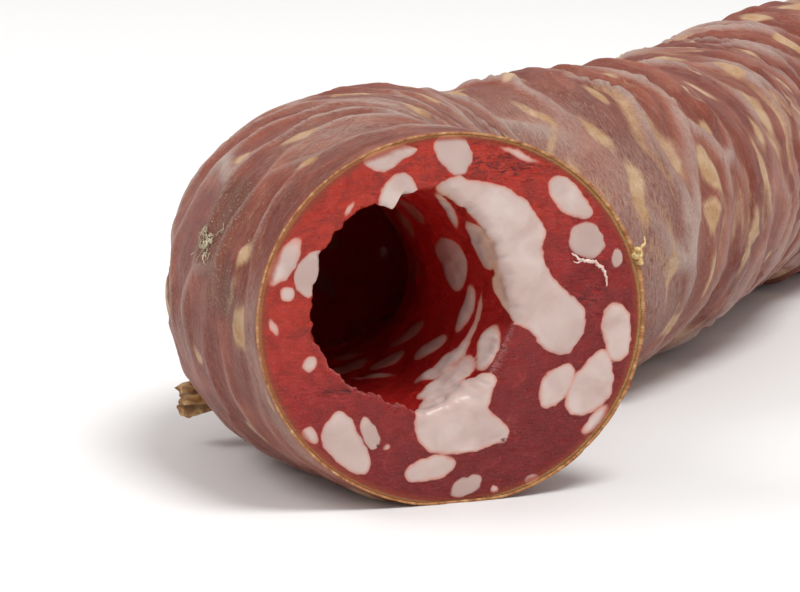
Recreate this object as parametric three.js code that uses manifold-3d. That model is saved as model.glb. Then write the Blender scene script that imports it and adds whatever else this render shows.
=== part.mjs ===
// A dry-cured sausage, cut across at its near end and hollowed from there, lying in one curved piece.
// Millimetres, +Z up. The sausage lies on Z = 0 with its cut face towards -Y, and the origin is under
// the middle of its bounding box.

import * as THREE from "three";
import { mergeVertices } from "three/addons/utils/BufferGeometryUtils.js";
import Module from "manifold-3d";

const wasm = await Module();
wasm.setup();

// ---- Driving dimensions -------------------------------------------------------------------------

const RADIUS = 25; // of the sausage, outside its casing
const CASING = 0.6; // thickness of the dried casing
const GAP = 0.3; // between pieces that touch
const PRESSED = 0.65; // how far the underside is pressed flat where it lies
const SIDES = 28; // facets round the sausage
const STEP = 5; // between rings along the sausage

// The centre line is three arcs in plan. A heading is measured from +Y towards +X.
const START_HEADING = -45;
const BENDS = [
  { length: 80, turn: 93 },
  { length: 80, turn: -36 },
  { length: 140, turn: 38 },
];

// The knife went in askew, so the cut's plane isn't square to the centre line.
const CUT_HEADING = -22;
const CUT_BLEND = 25; // over this stretch the rings turn from the cut's plane to square

// The far end: a dome, gathered into a neck that twine ties, with a pleated tail beyond it.
const DOME_START = 252;
const DOME_LENGTH = 34;
const DOME_RINGS = 7;
const NECK_RADIUS = 3.2;
const NECK_LENGTH = 5;
const TAIL_RADIUS = 6.5;
const TAIL_LENGTH = 13;
const PLEATS = 7;
const PLEAT_DEPTH = 0.3; // as a share of the tail's radius

// The hollow, in the plane of each ring: across the sausage, and up.
const HOLLOW_HALF_WIDTH = 13.9;
const HOLLOW_HALF_HEIGHT = 15.7;
const HOLLOW_OFFSET = new THREE.Vector2(-4.5, 2);
const HOLLOW_DEPTH = 68;
const HOLLOW_NARROW_START = 40; // from here it closes in a dome
const HOLLOW_TAPER = 0.8; // its size where the dome starts, as a share of its mouth
const HOLLOW_RINGS = 6;

// The dried scrap of gathered casing that sticks out low on the outer side of the bend.
const TAG_AT = 42; // along the centre line
const TAG_ASIDE = 19.5; // from the centre line to where the tag starts to flare
const TAG_HEIGHT = 6.6;
const TAG_ROOT_RADIUS = 1.6;
const TAG_ROOT_LENGTH = 8; // trimmed where it meets the skin
const TAG_TIP_RADIUS = 2.8;
const TAG_TIP_LENGTH = 4.5;
const TAG_PLEATS = 5;

const TWINE = 1.3; // its thickness
const TWINE_TURNS = 3;
const TWINE_END = [[0, 0], [3, 0.8], [6.5, -1.2]]; // aside of the knot, and up

// ---- The centre line ----------------------------------------------------------------------------

const radians = THREE.MathUtils.degToRad;
const LENGTH = BENDS.reduce((sum, bend) => sum + bend.length, 0);

// The plan position and heading at a distance along the centre line, straight on past either end.
function route(distance) {
  let heading = radians(START_HEADING);
  let left = distance;
  const place = new THREE.Vector2(0, 0);
  for (const bend of distance > 0 ? BENDS : []) {
    const run = Math.min(left, bend.length);
    const curvature = radians(bend.turn) / bend.length;
    const next = heading + curvature * run;
    place.x += (Math.cos(heading) - Math.cos(next)) / curvature;
    place.y += (Math.sin(next) - Math.sin(heading)) / curvature;
    heading = next;
    left -= run;
    if (left <= 0) break;
  }
  place.x += Math.sin(heading) * left;
  place.y += Math.cos(heading) * left;
  return { place, heading };
}

// The ring at a distance along the centre line: its centre, the way across it and its stretch that way.
function ring(distance) {
  const { place, heading } = route(distance);
  const square = THREE.MathUtils.clamp(distance / CUT_BLEND, 0, 1);
  const facing = THREE.MathUtils.lerp(radians(CUT_HEADING), heading, square);
  const across = new THREE.Vector2(Math.cos(facing), -Math.sin(facing));
  return { place, across, stretch: 1 / Math.cos(facing - heading) };
}

// ---- Shaping ------------------------------------------------------------------------------------

// A closed geometry with shared vertices and no triangle that has shrunk to a line.
function weld(geometry) {
  geometry.deleteAttribute("normal");
  geometry.deleteAttribute("uv");
  const merged = mergeVertices(geometry, 1e-4);
  const kept = [];
  const index = merged.index.array;
  for (let i = 0; i < index.length; i += 3) {
    const [a, b, c] = index.slice(i, i + 3);
    if (a !== b && b !== c && c !== a) kept.push(a, b, c);
  }
  merged.setIndex(kept);
  return merged;
}

// Turns a profile of [radius, distance] pairs into a round solid, closed on the axis.
function turned(profile, sides = SIDES) {
  const points = profile.map(([radius, along]) => new THREE.Vector2(radius, along));
  return weld(new THREE.LatheGeometry(points, sides));
}

// Bends a turned solid along the centre line, pressed flat at a height above the surface.
function bend(geometry, lowest = 0) {
  const position = geometry.attributes.position;
  for (let i = 0; i < position.count; i += 1) {
    const { place, across, stretch } = ring(position.getY(i));
    const out = position.getX(i) * stretch;
    const height = Math.max(RADIUS - PRESSED + position.getZ(i), lowest);
    position.setXYZ(i, place.x + across.x * out, place.y + across.y * out, height);
  }
  return geometry;
}

function toSolid(geometry) {
  const vertProperties = new Float32Array(geometry.attributes.position.array);
  const triVerts = new Uint32Array(geometry.index.array);
  return new wasm.Manifold(new wasm.Mesh({ numProp: 3, vertProperties, triVerts }));
}

function toGeometry(solid) {
  const mesh = solid.getMesh();
  const geometry = new THREE.BufferGeometry();
  geometry.setAttribute("position", new THREE.BufferAttribute(mesh.vertProperties, 3));
  geometry.setIndex(new THREE.BufferAttribute(mesh.triVerts, 1));
  return geometry;
}

// ---- Profiles along the sausage -----------------------------------------------------------------

// Straight stretch from the cut to the dome, as [radius, distance] pairs.
function straightStretch(radius) {
  const rings = Math.round(DOME_START / STEP);
  return Array.from({ length: rings + 1 }, (_, i) => [radius, (DOME_START * i) / rings]);
}

// Dome from the full radius down to an end radius.
function dome(radius, endRadius, length) {
  return Array.from({ length: DOME_RINGS }, (_, i) => {
    const angle = (Math.PI / 2) * ((i + 1) / DOME_RINGS);
    const open = Math.cos(angle);
    return [endRadius + (radius - endRadius) * open, DOME_START + length * Math.sin(angle)];
  });
}

function outerProfile(extra = 0) {
  const neckStart = DOME_START + DOME_LENGTH;
  const neckEnd = neckStart + NECK_LENGTH;
  return [
    ...straightStretch(RADIUS + extra),
    ...dome(RADIUS + extra, NECK_RADIUS + extra, DOME_LENGTH),
    [NECK_RADIUS + extra, neckEnd],
    [TAIL_RADIUS * 0.8, neckEnd + TAIL_LENGTH * 0.5],
    [TAIL_RADIUS, neckEnd + TAIL_LENGTH],
    [0, neckEnd + TAIL_LENGTH * 0.8],
  ];
}

// A profile of what lies inside the casing, kept clear of it by a gap.
function innerProfile(gap) {
  const shrink = CASING + gap;
  const radius = RADIUS - shrink;
  return [...straightStretch(radius), ...dome(radius, 0, DOME_LENGTH - 2 - gap)];
}

// Folds the gathered tail into pleats, deeper towards its tip.
function pleat(geometry, start, end, folds, depth) {
  const position = geometry.attributes.position;
  for (let i = 0; i < position.count; i += 1) {
    const [x, along, z] = [position.getX(i), position.getY(i), position.getZ(i)];
    const share = THREE.MathUtils.clamp((along - start) / (end - start), 0, 1);
    const fold = 1 - depth * share * (0.5 + 0.5 * Math.cos(Math.atan2(x, z) * folds));
    position.setXYZ(i, x * fold, along, z * fold);
  }
  return geometry;
}

// ---- Pieces -------------------------------------------------------------------------------------

// One skin from the cut edge to the pleated tail, open at the cut.
function casing() {
  const inner = innerProfile(0).reverse();
  const profile = [...inner, ...outerProfile()];
  const neckEnd = DOME_START + DOME_LENGTH + NECK_LENGTH;
  const straight = pleat(turned(profile), neckEnd, neckEnd + TAIL_LENGTH, PLEATS, PLEAT_DEPTH);
  const position = straight.attributes.position;
  const insideRadius = RADIUS - CASING + 0.01;
  const skin = bend(straight.clone());
  // The inner face is pressed flat too, one thickness above the outer face.
  for (let i = 0; i < position.count; i += 1) {
    const radius = Math.hypot(position.getX(i), position.getZ(i));
    const isInner = radius < insideRadius && position.getY(i) < DOME_START + 0.01;
    const height = skin.attributes.position.getZ(i);
    if (isInner) skin.attributes.position.setZ(i, Math.max(height, CASING));
  }
  return skin;
}

// The meat and fat, bound as one mass, with the hollow open at the cut face.
function filling() {
  const outside = [[0, 0], ...innerProfile(GAP)];
  const body = toSolid(bend(turned(outside), CASING + GAP));
  return toGeometry(body.subtract(toSolid(hollow())));
}

// The hollow starts in front of the cut, tapers with the bend and ends in a dome.
function hollow() {
  const tapered = (along) => 1 - ((1 - HOLLOW_TAPER) * along) / HOLLOW_NARROW_START;
  const rings = Array.from({ length: HOLLOW_RINGS }, (_, i) => {
    const along = (HOLLOW_NARROW_START * i) / (HOLLOW_RINGS - 1);
    return [tapered(along), along];
  });
  const end = Array.from({ length: HOLLOW_RINGS }, (_, i) => {
    const angle = (Math.PI / 2) * ((i + 1) / HOLLOW_RINGS);
    const along = HOLLOW_NARROW_START + (HOLLOW_DEPTH - HOLLOW_NARROW_START) * Math.sin(angle);
    return [HOLLOW_TAPER * Math.cos(angle), along];
  });
  const geometry = turned([[0, -STEP], [1, -STEP], ...rings, ...end], SIDES - 8);
  const position = geometry.attributes.position;
  for (let i = 0; i < position.count; i += 1) {
    const along = position.getY(i);
    const aside = 1 - THREE.MathUtils.clamp(along / HOLLOW_DEPTH, 0, 1);
    const x = position.getX(i) * HOLLOW_HALF_WIDTH + HOLLOW_OFFSET.x * aside;
    const z = position.getZ(i) * HOLLOW_HALF_HEIGHT + HOLLOW_OFFSET.y * aside;
    position.setXYZ(i, x, along, z);
  }
  return bend(geometry, CASING);
}

// The pleated scrap points outward from the outer side of the bend, trimmed where it meets the skin.
function casingTag() {
  const profile = [
    [0, -TAG_ROOT_LENGTH],
    [TAG_ROOT_RADIUS, -TAG_ROOT_LENGTH],
    [TAG_ROOT_RADIUS, 0],
    [TAG_TIP_RADIUS, TAG_TIP_LENGTH * 0.75],
    [TAG_TIP_RADIUS * 0.9, TAG_TIP_LENGTH],
    [0, TAG_TIP_LENGTH * 0.8],
  ];
  const { place, across } = ring(TAG_AT);
  const start = place.clone().addScaledVector(across, -TAG_ASIDE);
  const tag = pleat(turned(profile, 4 * TAG_PLEATS), 0, TAG_TIP_LENGTH, TAG_PLEATS, PLEAT_DEPTH);
  tag.rotateZ(Math.PI / 2 + across.angle());
  tag.translate(start.x, start.y, TAG_HEIGHT);
  const skin = bend(turned([[0, 0], ...outerProfile(GAP)]));
  return toGeometry(toSolid(tag).subtract(toSolid(skin)));
}

// Turns of twine round the neck, with a knot and two short ends on top, all one string.
function endTwine() {
  const bore = NECK_RADIUS + GAP;
  const width = TWINE * TWINE_TURNS;
  const start = DOME_START + DOME_LENGTH + (NECK_LENGTH - width) / 2;
  const turns = Array.from({ length: TWINE_TURNS }, (_, turn) => [
    [bore + TWINE * 0.6, start + TWINE * turn],
    [bore + TWINE, start + TWINE * (turn + 0.5)],
  ]).flat();
  const profile = [[bore, start], ...turns, [bore + TWINE * 0.6, start + width], [bore, start + width]];
  let string = toSolid(bend(turned([...profile, profile[0]], SIDES / 2)));

  const { place, across } = ring(start + width / 2);
  const height = RADIUS - PRESSED + bore + TWINE * 1.2;
  const knot = new THREE.Vector3(place.x, place.y, height);
  const ball = new THREE.SphereGeometry(TWINE * 1.3, 12, 8).translate(knot.x, knot.y, knot.z);
  string = string.add(toSolid(weld(ball)));

  const section = new THREE.Shape().absarc(0, 0, TWINE / 2, 0, Math.PI * 2);
  for (const side of [-1, 1]) {
    const reach = ([aside, rise]) =>
      new THREE.Vector3(across.x * aside * side, across.y * aside * side, rise).add(knot);
    const extrudePath = new THREE.CatmullRomCurve3(TWINE_END.map(reach));
    const end = new THREE.ExtrudeGeometry(section, { extrudePath, steps: 6, curveSegments: 4 });
    string = string.add(toSolid(weld(end)));
  }
  return toGeometry(string);
}

// ---- The sausage --------------------------------------------------------------------------------

const group = new THREE.Group();

function add(name, geometry, color, roughness) {
  geometry.computeVertexNormals();
  const material = new THREE.MeshStandardMaterial({ color, roughness, metalness: 0 });
  const mesh = new THREE.Mesh(geometry, material);
  mesh.name = name;
  group.add(mesh);
}

add("casing", casing(), 0x8f6460, 0.5);
add("filling", filling(), 0xa8323a, 0.4);
add("casing_tag", casingTag(), 0x9a7440, 0.75);
add("end_twine", endTwine(), 0xd9ccb0, 0.9);

const box = new THREE.Box3().setFromObject(group);
const middle = box.getCenter(new THREE.Vector3());
group.position.set(-middle.x, -middle.y, -box.min.z);

export default group;
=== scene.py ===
"""A dry-cured sausage in natural casing, cut across and hollowed at its near end, tied at its far end.

Sizes are in millimetres, and MM turns them into Blender's metres. A place on the sausage is told by how far
it lies along the centre line from the cut, and by its offset across and up from that line, or by its turn
round the line, where 0 is the right and 90 degrees the top.
"""

import math

import bmesh
import bpy
import numpy as np
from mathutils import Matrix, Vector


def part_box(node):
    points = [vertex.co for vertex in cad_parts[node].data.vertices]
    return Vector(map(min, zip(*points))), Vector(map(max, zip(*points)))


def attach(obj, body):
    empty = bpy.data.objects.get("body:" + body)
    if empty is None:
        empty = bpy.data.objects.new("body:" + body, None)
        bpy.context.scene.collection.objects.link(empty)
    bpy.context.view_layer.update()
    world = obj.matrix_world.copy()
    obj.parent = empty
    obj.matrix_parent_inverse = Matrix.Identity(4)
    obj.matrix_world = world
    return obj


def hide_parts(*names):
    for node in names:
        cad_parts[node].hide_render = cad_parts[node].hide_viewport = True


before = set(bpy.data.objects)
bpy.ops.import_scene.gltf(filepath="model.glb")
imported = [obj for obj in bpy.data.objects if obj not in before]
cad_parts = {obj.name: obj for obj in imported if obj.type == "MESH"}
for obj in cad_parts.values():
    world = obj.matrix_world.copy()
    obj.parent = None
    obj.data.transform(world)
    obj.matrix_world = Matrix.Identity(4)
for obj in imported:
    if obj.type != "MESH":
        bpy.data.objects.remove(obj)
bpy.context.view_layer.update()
MM = 0.001

# ---- Casing -------------------------------------------------------------------------------------
# A length of dried natural casing, half a millimetre thick. Drying shrank the meat, so the skin drew up
# into soft ridges that run round the sausage and fork, and tan fat shows through it. At the far end it
# is gathered into a neck and spreads again past the tie.

RADIUS = 25.0
ROUND_SKIN = 157
CENTRE_HEIGHT = 25.2
UNDERSIDE_ROUNDING = 0.06
START_HEADING = math.radians(-45)
BENDS = ((80, math.radians(93)), (80, math.radians(-36)), (140, math.radians(38)))
CUT_HEADING = math.radians(-22)
CUT_BLEND = 25
SKIN = 0.3
SLACK_UNDER_RIDGES = 1.4
DOME_START, DOME_LENGTH = 252, 34
NECK_RADIUS, NECK_LENGTH = 3.2, 5
TAIL_RADIUS, TAIL_LENGTH, TAIL_PLEATS = 6.6, 13, 7
NECK_START = DOME_START + DOME_LENGTH
NECK_END = NECK_START + NECK_LENGTH
PANEL_NEAR, PANEL_FAR, PANELS_ROUND, PANEL_SQUEEZE = 8.4, 11.5, 4, 0.26
RIDGE_HEIGHT, PANEL_BULGE = 1.25, 1.0
COLUMNS = 240
LINING_END = 280
# Depths inside fat are in millimetres. NO_FAT stands for a place with none near, and FAR for a long way off.
NO_FAT, FAR = -9.0, 9.0
LARGEST_PATCH = 12
SKIN_PER_DEGREE = 0.44
# Where the round swells or sinks: turn, distance along, how far it reaches and how high it is.
BULGES = [
    (-50, 80, 18, 1.5), (90, 80, 11, -2.8), (95, 108, 14, -0.2), (90, 143, 20, -2.2), (90, 192, 22, -1.3),
    (85, 247, 20, 2.8), (200, 31, 20, 2.5), (138, 34, 20, -2.3), (92, 42, 18, 2.0), (-60, 158, 34, -1.6),
    (-50, 98, 12, 2.4),
]


def route(along):
    """Plan place and heading at distances along the centre line, straight on past either end."""
    heading = np.full_like(along, START_HEADING)
    x, y = np.zeros_like(along), np.zeros_like(along)
    start = 0
    for length, turn in BENDS:
        run = np.clip(along - start, 0, length)
        after = heading + turn / length * run
        x += (np.cos(heading) - np.cos(after)) / (turn / length)
        y += (np.sin(after) - np.sin(heading)) / (turn / length)
        heading = after
        start += length
    past = np.minimum(along, 0) + np.maximum(along - start, 0)
    return x + np.sin(heading) * past, y + np.cos(heading) * past, heading


def smooth(low, high, value):
    """0 below low, 1 above high, and an S-curve between."""
    share = np.clip((value - low) / (high - low), 0, 1)
    return share * share * (3 - 2 * share)


def hump(away, reach):
    """1 where away is 0, falling to nothing past the reach."""
    return np.exp(-((away / reach) ** 2))


def lie(across, up, along, lowest=0.0):
    """Points of the bent sausage, in millimetres in the frame, pressed flat at a height above the board."""
    across, up, along = np.broadcast_arrays(across, up, along)
    x, y, heading = route(along)
    facing = CUT_HEADING + (heading - CUT_HEADING) * np.clip(along / CUT_BLEND, 0, 1)
    out = across / np.cos(facing - heading)
    rise = CENTRE_HEIGHT + up - lowest
    pressed = lowest + 0.5 * (rise + np.sqrt(rise * rise + UNDERSIDE_ROUNDING))
    points = np.stack([x + np.cos(facing) * out, y - np.sin(facing) * out, pressed], -1)
    return points + ORIGIN


def round_at(turn, reach, along, lowest=0.0):
    """Points at a turn round the centre line and a distance from it."""
    return lie(reach * np.cos(turn), reach * np.sin(turn), along, lowest)


def chance(i, j, k, seed):
    """A fixed random value from -1 to 1 for each whole-numbered place."""
    key = i * 73856093 ^ j * 19349663 ^ k * 83492791 ^ seed * 7919
    key = (key ^ (key >> 13)) * 1274126177 & 0xFFFFFFFF
    key = (key ^ (key >> 15)) * 2246822519 & 0xFFFFFFFF
    return (key >> 8 & 0xFFFF) / 32767.5 - 1


def drift(x, y, z, seed):
    """Smooth noise from -1 to 1, with one random value to each unit cell."""
    place = np.stack(np.broadcast_arrays(x, y, z)).astype(float)
    low = np.floor(place)
    share = place - low
    share = share * share * (3 - 2 * share)
    low = low.astype(np.int64)
    total = np.zeros(place.shape[1:])
    for di, dj, dk in np.ndindex(2, 2, 2):
        weight = np.where(di, share[0], 1 - share[0]) * np.where(dj, share[1], 1 - share[1])
        weight = weight * np.where(dk, share[2], 1 - share[2])
        total += weight * chance(low[0] + di, low[1] + dj, low[2] + dk, seed)
    return total


def wander(turn, along, finer, length, seed, shift=0.0):
    """Smooth noise over the skin: the finer, the more bumps round it, each about a length long."""
    return drift(np.cos(turn) * finer + shift, np.sin(turn) * finer, along / length, seed)


def turn_away(turn, degrees):
    """How far a turn is from a given one, the short way round."""
    return (turn - math.radians(degrees) + math.pi) % (2 * math.pi) - math.pi


def coarser(along):
    """0 on the near stretch and 1 past the first bend, where the ridges are coarser."""
    return smooth(60, 110, along)


def before_neck(along, start, end):
    """1 along the sausage, falling to 0 between two distances ahead of its neck."""
    return 1 - smooth(NECK_START - start, NECK_START - end, along)


def girth(turn, along):
    """The skin's distance from the centre line without its ridges."""
    at_cut = 25.3 + 1.0 * np.cos(turn + math.radians(38)) + 0.5 * np.cos(2 * turn + math.radians(60))
    body = RADIUS + 0.75 * wander(turn, along, 1.1, 24, 3)
    for angle, place, reach, height in BULGES:
        facing = np.clip(np.cos(turn - math.radians(angle)), 0, 1)
        body += height * hump(along - place, reach) * facing
    share = smooth(2, 55, along)
    full = at_cut * (1 - share) + body * share
    closing = np.arcsin(np.clip((along - DOME_START) / DOME_LENGTH, 0, 1))
    return NECK_RADIUS + (full - NECK_RADIUS) * np.cos(closing)


def panel_edge(turn, along):
    """Distance to the nearest line between the panels of drawn-up skin, and each panel's own tone."""
    steps = np.arange(0, NECK_END + 1.0)
    pitches = PANEL_NEAR + (PANEL_FAR - PANEL_NEAR) * smooth(45, 90, steps)
    pitch = np.interp(along, steps, pitches)
    count = np.interp(along, steps, np.cumsum(1 / pitches))
    count = count + 0.5 * wander(turn, along, 1.4, 26, 11) + 0.16 * wander(turn, along, 4, 8, 12)
    count = count - 0.3 * np.sin(turn + 0.6) * coarser(along)
    round_place = turn / (2 * math.pi) * PANELS_ROUND + 0.2 * wander(turn, along, 3, 10, 13)
    row, column = np.floor(count).astype(np.int64), np.floor(round_place).astype(np.int64)
    nearest, next_nearest = np.full(turn.shape, 99.0), np.full(turn.shape, 99.0)
    tone = np.zeros(turn.shape)
    for di, dj in np.ndindex(5, 5):
        i, j = row + di - 2, column + dj - 2
        seed_count = i + 0.5 + 0.3 * chance(i, j % PANELS_ROUND, 0, 14)
        seed_round = j + 0.5 + 0.5 * (i % 2) + 0.35 * chance(i, j % PANELS_ROUND, 1, 14)
        aside = (round_place - seed_round) * ROUND_SKIN / PANELS_ROUND * PANEL_SQUEEZE
        away = np.hypot((count - seed_count) * pitch, aside)
        next_nearest = np.minimum(next_nearest, np.maximum(nearest, away))
        tone = np.where(away < nearest, chance(i, j % PANELS_ROUND, 2, 14), tone)
        nearest = np.minimum(nearest, away)
    return (next_nearest - nearest) / 2, tone


def patchy(turn, along):
    """From -1 where a ridge is weak to 1 where it is strong."""
    return wander(turn, along, 1.8, 13, 15, shift=5)


def crests(turn, along, edge):
    """How far up a ridge a place on the skin is, from 0 to 1."""
    strength = np.clip(0.62 + 0.7 * patchy(turn, along), 0.12, 1)
    main = (0.5 * hump(edge, 0.55) + 0.5 * hump(edge, 1.4)) * strength
    contour = wander(turn, along, 2.6, 3.4, 16) + 0.4 * wander(turn, along, 6, 2, 17)
    fine = 0.4 * hump(contour, 0.1) * np.clip(wander(turn, along, 1.5, 12, 18) + 0.5, 0, 1)
    return np.maximum(main, fine) * smooth(1.5, 6, along) * before_neck(along, 22, 6)


def skin_radius(turn, along, edge=None):
    """The outside of the casing, with its ridges, its small creases and the pleats at the gathered end."""
    crease = 0.1 * wander(turn, along, 6, 1.1, 21) + 0.16 * wander(turn, along, 3, 3.2, 22)
    inner_bend = np.clip(np.cos(turn), 0, 1) * smooth(3, 12, along) * (1 - smooth(62, 80, along))
    crease += 0.14 * inner_bend * wander(turn, along, 2.5, 0.8, 23)
    away = panel_edge(turn, along)[0] if edge is None else edge
    swell = (PANEL_BULGE + 0.9 * coarser(along)) * (smooth(0.9, 5.5, away) - 0.45) * smooth(0, 9, along)
    swell *= before_neck(along, 26, 8)
    ridge = RIDGE_HEIGHT * (1 + 0.35 * coarser(along)) * crests(turn, along, away)
    radius = girth(turn, along) + ridge + swell + crease * smooth(0, 1.2, along)
    gathered = (1 - before_neck(along, 26, 4)) * (1 - smooth(NECK_START, NECK_END, along))
    folds = np.abs(np.sin(turn * 6.5 + 0.9 * wander(turn, along, 1, 30, 24) + math.pi / 2)) - 0.6
    radius += gathered * folds * np.minimum(1.1, radius * 0.11)
    flare = smooth(NECK_END - 0.5, NECK_END + TAIL_LENGTH * 0.7, along)
    tail = NECK_RADIUS + (TAIL_RADIUS - NECK_RADIUS) * flare
    tail *= 1 + 0.12 * wander(turn, along, 2, 3, 25)
    pleat = 1 - 0.36 * flare * (0.5 + 0.5 * np.cos(turn * TAIL_PLEATS + 0.7 * np.sin(along / 3)))
    return np.where(along > NECK_END, tail * pleat, radius)


def inside_radius(turn, along):
    """The inside of the casing: close to the skin at the cut, and clear under its ridges behind that."""
    back = smooth(0, 5, along)
    return skin_radius(turn, along) * (1 - back) + (girth(turn, along) - SLACK_UNDER_RIDGES) * back - SKIN


def show(name, data):
    """Puts a mesh, a curve, a lamp or a camera in the scene as a new object."""
    made = bpy.data.objects.new(name, data)
    bpy.context.scene.collection.objects.link(made)
    return made


def outward(piece):
    """Turns a closed piece's faces to point out."""
    shape = bmesh.new()
    shape.from_mesh(piece.data)
    bmesh.ops.recalc_face_normals(shape, faces=shape.faces)
    shape.to_mesh(piece.data)
    shape.free()


def shell(name, rows, ends):
    """A closed mesh from rings of points, each joined to the next, with a single point at either end."""
    count, columns = rows.shape[:2]
    points = np.concatenate([rows.reshape(-1, 3), np.asarray(ends)]) * MM
    ring, column = np.meshgrid(np.arange(count - 1), np.arange(columns), indexing="ij")
    right = (column + 1) % columns
    corners = (ring * columns + column, ring * columns + right)
    corners += ((ring + 1) * columns + right, (ring + 1) * columns + column)
    faces = np.stack(corners, -1).reshape(-1, 4).tolist()
    last, first_pole, last_pole = (count - 1) * columns, count * columns, count * columns + 1
    for i in range(columns):
        j = (i + 1) % columns
        faces.append((first_pole, j, i))
        faces.append((last_pole, last + i, last + j))
    mesh = bpy.data.meshes.new(name)
    mesh.from_pydata(points.tolist(), [], faces)
    mesh.shade_smooth()
    piece = show(name, mesh)
    outward(piece)
    return piece


def mark(piece, name, values):
    """Stores a number, or a place of three numbers, on each of a piece's points for its material to read."""
    values = np.asarray(values, np.float32)
    kind, field = ("FLOAT", "value") if values.ndim == 1 else ("FLOAT_VECTOR", "vector")
    piece.data.attributes.new(name, kind, "POINT").data.foreach_set(field, values.ravel())


def patch_depth(aside, ahead, half_aside, half_ahead, tilt):
    """How deep inside a tilted oval patch a place is, negative outside it."""
    c, s = math.cos(math.radians(tilt)), math.sin(math.radians(tilt))
    p, q = aside * c + ahead * s, ahead * c - aside * s
    return (1 - np.hypot(p / half_aside, q / half_ahead)) * min(half_aside, half_ahead)


def blobs_depth(turn, along, blobs, radius=RADIUS):
    """How deep inside the nearest patch of fat each place is, negative outside it."""
    depth = np.full(turn.shape, NO_FAT)
    for angle, place, half_round, half_along, tilt in blobs:
        aside, ahead = turn_away(turn, angle) * radius, along - place
        near = (np.abs(aside) < LARGEST_PATCH) & (np.abs(ahead) < LARGEST_PATCH)
        inside = patch_depth(aside[near], ahead[near], half_round, half_along, tilt)
        depth[near] = np.maximum(depth[near], inside)
    return depth


def nearest_patch(patches, angle, place, per_degree):
    """The distance in millimetres from a place to the nearest patch of fat."""
    return min(
        math.hypot(((angle - patch[0] + 180) % 360 - 180) * per_degree, place - patch[1]) for patch in patches
    )


# The first reckoning of the centre line puts the cut at 0, 0. The frame's own box says where it lies.
ORIGIN = np.zeros(3)
turns = np.linspace(0, 2 * math.pi, 180, endpoint=False)
plain = round_at(turns[None], RADIUS, np.arange(0, 253.0)[:, None])
low_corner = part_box("casing")[0]
ORIGIN = np.array([low_corner.x, low_corner.y, 0]) / MM - np.append(plain.reshape(-1, 3).min(0)[:2], 0)

near_rows = np.concatenate([[0, 0.12, 0.3], np.arange(0.6, 60, 0.5)])
far_rows = np.arange(60, DOME_START, 1.0)
dome_rows = DOME_START + DOME_LENGTH * np.sin(np.linspace(0, math.pi / 2, 28))
neck_rows = NECK_START + np.array([1.6, 3.4])
tail_rows = np.linspace(NECK_END, NECK_END + TAIL_LENGTH, 20)
turns = np.linspace(0, 2 * math.pi, COLUMNS, endpoint=False)
lining_rows = np.concatenate([[276, 268], np.arange(260, 7, -8), [5, 1.5, 0]])
lining_turn, lining_along = np.meshgrid(turns, lining_rows)
lining_reach = inside_radius(lining_turn, lining_along)
lining_points = round_at(lining_turn, lining_reach, lining_along, lowest=SKIN)
turn, along = np.meshgrid(turns, np.concatenate([near_rows, far_rows, dome_rows, neck_rows, tail_rows]))
edge_away, panel_tone = panel_edge(turn, along)
ragged = 0.16 * wander(turn, 0, 14, 1, 31) + 0.1 * wander(turn, 0, 45, 1, 32)
shifted = along + np.where(along < 0.4, ragged - 0.12, 0)
tip = smooth(NECK_END + TAIL_LENGTH * 0.6, NECK_END + TAIL_LENGTH, along)
shifted += tip * 1.5 * wander(turn, 0, 4, 1, 33)
skin_points = round_at(turn, skin_radius(turn, along, edge_away), shifted)
lining_points[-1] += (skin_points[0] - lining_points[-1]) * 0.03
ends = lie(np.zeros(2), np.zeros(2), np.array([LINING_END, NECK_END + TAIL_LENGTH * 0.8]))
casing = shell("casing_skin", np.concatenate([lining_points, skin_points]), ends)

# Patches of fat that lie against the skin: turn and distance, half-sizes round and along, and tilt.
SKIN_FAT = [
    (112, 20, 2.6, 1.5, 5), (130, 25, 1.3, 1.3, 0), (90, 46, 3.2, 1.4, 0), (125, 10, 1.7, 0.8, 10),
    (160, 8.5, 1.6, 1.1, 0), (182, 7.5, 2.8, 1.7, -8), (171, 9.5, 2.0, 0.5, 35), (203, 2, 1.6, 0.7, 0),
    (196, 22, 1.5, 0.9, 0), (60, 123, 4.6, 1.7, 12), (39, 118, 2.0, 1.6, 0), (27, 105, 2.3, 1.7, 20),
    (44, 93, 4.4, 1.3, -15), (51, 74, 2.2, 1.3, 0), (18, 94, 5.2, 1.5, 12), (21, 113, 4.8, 1.7, -10),
    (7, 110, 2.8, 1.4, 0), (63, 156, 3.2, 2.2, 0), (40, 147, 6.4, 1.6, 8), (45, 181, 2.4, 1.9, 0),
    (16, 133, 6.8, 1.1, 0), (-9, 126, 6.2, 1.3, 0), (-16, 111, 3.6, 1.5, 0), (-6, 98, 6.5, 0.7, 0),
    (60, 86, 4.2, 1.0, -12), (64, 99, 3.2, 1.7, 0), (33, 85, 0.9, 0.8, 0), (-32, 104, 2.0, 1.9, 0),
    (44, 84, 3.0, 0.6, 40), (38, 70, 2.6, 0.8, -20), (76, 110, 5.4, 1.2, 8),
]
rng = np.random.default_rng(7)
for _ in range(900):
    angle, place = rng.uniform(0, 360), rng.uniform(3, DOME_START + 22)
    seen_from_left = 80 < angle < 235 and place < 60
    apart = nearest_patch(SKIN_FAT, angle, place, SKIN_PER_DEGREE)
    if apart < (13 if seen_from_left else rng.uniform(7.5, 15)):
        continue
    long_side = rng.uniform(1.2, 4.8)
    short_side = rng.uniform(0.6, 1.0) * long_side**0.6
    SKIN_FAT.append((angle, place, long_side, short_side, rng.uniform(-25, 25)))

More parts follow.
